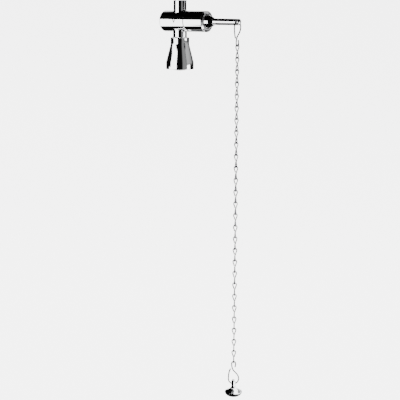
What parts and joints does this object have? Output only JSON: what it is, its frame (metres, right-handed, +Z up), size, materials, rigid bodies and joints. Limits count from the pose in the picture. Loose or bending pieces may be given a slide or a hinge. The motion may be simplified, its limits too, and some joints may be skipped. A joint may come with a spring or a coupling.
{
  "type": "emergency safety shower",
  "caption": "Overhead emergency shower: a chromed tilt-lever valve with an inlet stub on top, a bell-shaped head below and a pull chain with a knob that opens it.",
  "frame": {"origin": "centre of the inlet stub's top face, where the supply pipe enters", "axes": "+Z up along the pipe, the valve's axis and the lever along +X, the marked front of the valve towards -Y"},
  "size_m": [0.1892, 0.0542, 0.771],
  "materials": {
    "chrome": "polished chrome plate on cast brass",
    "wire_chrome": "bright plated steel wire",
    "satin_nickel": "satin, lightly mottled",
    "brass": "turned brass",
    "spring_steel": "bright stainless steel",
    "rubber": "matt black rubber"
  },
  "bodies": {
    "valve": {"valve_body": "chrome", "end_plug": "chrome", "end_plug_seal": "rubber", "closing_spring": "spring_steel", "bonnet": "chrome", "bonnet_seal": "rubber", "gland_seal": "rubber", "gland_nut": "brass", "return_spring": "spring_steel", "retaining_ring": "satin_nickel", "head_nipple": "chrome", "flow_control": "brass", "nipple_gasket": "rubber", "shower_bell": "chrome", "spray_plate": "satin_nickel", "spray_plate_seal": "rubber"},
    "stem": {"stem": "spring_steel", "push_plate": "spring_steel", "seat_washer": "rubber", "valve_disc": "brass", "disc_nut": "spring_steel"},
    "lever": {"lever_head": "chrome", "lever_rod": "chrome"},
    "upper_hook": {"upper_hook": "wire_chrome"},
    "link_01": {"chain_link_01": "wire_chrome"},
    "link_02": {"chain_link_02": "wire_chrome"},
    "link_03": {"chain_link_03": "wire_chrome"},
    "link_04": {"chain_link_04": "wire_chrome"},
    "link_05": {"chain_link_05": "wire_chrome"},
    "link_06": {"chain_link_06": "wire_chrome"},
    "link_07": {"chain_link_07": "wire_chrome"},
    "link_08": {"chain_link_08": "wire_chrome"},
    "link_09": {"chain_link_09": "wire_chrome"},
    "link_10": {"chain_link_10": "wire_chrome"},
    "link_11": {"chain_link_11": "wire_chrome"},
    "link_12": {"chain_link_12": "wire_chrome"},
    "link_13": {"chain_link_13": "wire_chrome"},
    "link_14": {"chain_link_14": "wire_chrome"},
    "link_15": {"chain_link_15": "wire_chrome"},
    "link_16": {"chain_link_16": "wire_chrome"},
    "link_17": {"chain_link_17": "wire_chrome"},
    "link_18": {"chain_link_18": "wire_chrome"},
    "link_19": {"chain_link_19": "wire_chrome"},
    "link_20": {"chain_link_20": "wire_chrome"},
    "link_21": {"chain_link_21": "wire_chrome"},
    "link_22": {"chain_link_22": "wire_chrome"},
    "link_23": {"chain_link_23": "wire_chrome"},
    "link_24": {"chain_link_24": "wire_chrome"},
    "link_25": {"chain_link_25": "wire_chrome"},
    "link_26": {"chain_link_26": "wire_chrome"},
    "link_27": {"chain_link_27": "wire_chrome"},
    "lower_hook": {"lower_hook": "wire_chrome"},
    "knob": {"pull_knob": "chrome"}
  },
  "joints": [
    {"name": "lever_tilt", "type": "hinge", "parent": "valve", "child": "lever", "pos_m": [0.0639, 0, -0.0254], "axis": [0, 1, 0], "range_deg": [0, 10], "stiffness_Nm_per_rad": 2, "springref_deg": -28.65},
    {"name": "stem_slide", "type": "slide", "parent": "valve", "child": "stem", "axis": [-1, 0, 0], "range_m": [0, 0.0037], "deforming": ["return_spring", "closing_spring"]},
    {"name": "upper_hook_swing", "type": "hinge", "parent": "lever", "child": "upper_hook", "pos_m": [0.136, 0, -0.04], "axis": [0, -1, 0], "range_deg": [-40, 40]},
    {"name": "link_01_swing", "type": "hinge", "parent": "upper_hook", "child": "link_01", "pos_m": [0.136, 0, -0.08444], "axis": [0, 1, 0], "range_deg": [-45, 45]},
    {"name": "link_02_swing", "type": "hinge", "parent": "link_01", "child": "link_02", "pos_m": [0.136, 0, -0.10464], "axis": [0.9997, 0.0248, 0], "range_deg": [-45, 45]},
    {"name": "link_03_swing", "type": "hinge", "parent": "link_02", "child": "link_03", "pos_m": [0.136, 0, -0.13004], "axis": [0.0248, -0.9997, 0], "range_deg": [-45, 45]},
    {"name": "link_04_swing", "type": "hinge", "parent": "link_03", "child": "link_04", "pos_m": [0.136, 0, -0.15044], "axis": [-0.9972, -0.0744, 0], "range_deg": [-45, 45]},
    {"name": "link_05_swing", "type": "hinge", "parent": "link_04", "child": "link_05", "pos_m": [0.136, 0, -0.17584], "axis": [-0.0744, 0.9972, 0], "range_deg": [-45, 45]},
    {"name": "link_06_swing", "type": "hinge", "parent": "link_05", "child": "link_06", "pos_m": [0.136, 0, -0.19624], "axis": [0.9923, 0.1239, 0], "range_deg": [-45, 45]},
    {"name": "link_07_swing", "type": "hinge", "parent": "link_06", "child": "link_07", "pos_m": [0.136, 0, -0.22164], "axis": [0.1239, -0.9923, 0], "range_deg": [-45, 45]},
    {"name": "link_08_swing", "type": "hinge", "parent": "link_07", "child": "link_08", "pos_m": [0.136, 0, -0.24204], "axis": [-0.9849, -0.173, 0], "range_deg": [-45, 45]},
    {"name": "link_09_swing", "type": "hinge", "parent": "link_08", "child": "link_09", "pos_m": [0.136, 0, -0.26744], "axis": [-0.173, 0.9849, 0], "range_deg": [-45, 45]},
    {"name": "link_10_swing", "type": "hinge", "parent": "link_09", "child": "link_10", "pos_m": [0.136, 0, -0.28784], "axis": [0.9751, 0.2217, 0], "range_deg": [-45, 45]},
    {"name": "link_11_swing", "type": "hinge", "parent": "link_10", "child": "link_11", "pos_m": [0.136, 0, -0.31324], "axis": [0.2217, -0.9751, 0], "range_deg": [-45, 45]},
    {"name": "link_12_swing", "type": "hinge", "parent": "link_11", "child": "link_12", "pos_m": [0.136, 0, -0.33364], "axis": [-0.9629, -0.2698, 0], "range_deg": [-45, 45]},
    {"name": "link_13_swing", "type": "hinge", "parent": "link_12", "child": "link_13", "pos_m": [0.136, 0, -0.35904], "axis": [-0.2698, 0.9629, 0], "range_deg": [-45, 45]},
    {"name": "link_14_swing", "type": "hinge", "parent": "link_13", "child": "link_14", "pos_m": [0.136, 0, -0.37944], "axis": [0.9483, 0.3173, 0], "range_deg": [-45, 45]},
    {"name": "link_15_swing", "type": "hinge", "parent": "link_14", "child": "link_15", "pos_m": [0.136, 0, -0.40484], "axis": [0.3173, -0.9483, 0], "range_deg": [-45, 45]},
    {"name": "link_16_swing", "type": "hinge", "parent": "link_15", "child": "link_16", "pos_m": [0.136, 0, -0.42524], "axis": [-0.9314, -0.364, 0], "range_deg": [-45, 45]},
    {"name": "link_17_swing", "type": "hinge", "parent": "link_16", "child": "link_17", "pos_m": [0.136, 0, -0.45064], "axis": [-0.364, 0.9314, 0], "range_deg": [-45, 45]},
    {"name": "link_18_swing", "type": "hinge", "parent": "link_17", "child": "link_18", "pos_m": [0.136, 0, -0.47104], "axis": [0.9122, 0.4098, 0], "range_deg": [-45, 45]},
    {"name": "link_19_swing", "type": "hinge", "parent": "link_18", "child": "link_19", "pos_m": [0.136, 0, -0.49644], "axis": [0.4098, -0.9122, 0], "range_deg": [-45, 45]},
    {"name": "link_20_swing", "type": "hinge", "parent": "link_19", "child": "link_20", "pos_m": [0.136, 0, -0.51684], "axis": [-0.8907, -0.4546, 0], "range_deg": [-45, 45]},
    {"name": "link_21_swing", "type": "hinge", "parent": "link_20", "child": "link_21", "pos_m": [0.136, 0, -0.54224], "axis": [-0.4546, 0.8907, 0], "range_deg": [-45, 45]},
    {"name": "link_22_swing", "type": "hinge", "parent": "link_21", "child": "link_22", "pos_m": [0.136, 0, -0.56264], "axis": [0.867, 0.4983, 0], "range_deg": [-45, 45]},
    {"name": "link_23_swing", "type": "hinge", "parent": "link_22", "child": "link_23", "pos_m": [0.136, 0, -0.58804], "axis": [0.4983, -0.867, 0], "range_deg": [-45, 45]},
    {"name": "link_24_swing", "type": "hinge", "parent": "link_23", "child": "link_24", "pos_m": [0.136, 0, -0.60844], "axis": [-0.8412, -0.5407, 0], "range_deg": [-45, 45]},
    {"name": "link_25_swing", "type": "hinge", "parent": "link_24", "child": "link_25", "pos_m": [0.136, 0, -0.63384], "axis": [-0.5407, 0.8412, 0], "range_deg": [-45, 45]},
    {"name": "link_26_swing", "type": "hinge", "parent": "link_25", "child": "link_26", "pos_m": [0.136, 0, -0.65424], "axis": [0.8133, 0.5818, 0], "range_deg": [-45, 45]},
    {"name": "link_27_swing", "type": "hinge", "parent": "link_26", "child": "link_27", "pos_m": [0.136, 0, -0.67964], "axis": [0.5818, -0.8133, 0], "range_deg": [-45, 45]},
    {"name": "lower_hook_swing", "type": "hinge", "parent": "link_27", "child": "lower_hook", "pos_m": [0.136, 0, -0.69984], "axis": [-0.7986, -0.6018, 0], "range_deg": [-45, 45]},
    {"name": "knob_swing", "type": "hinge", "parent": "lower_hook", "child": "knob", "pos_m": [0.136, 0, -0.745], "axis": [0.7986, 0.6018, 0], "range_deg": [-45, 45]}
  ],
  "couplings": [
    {"joint": "stem_slide", "follows": "lever_tilt", "m_per_rad": 0.0206}
  ]
}
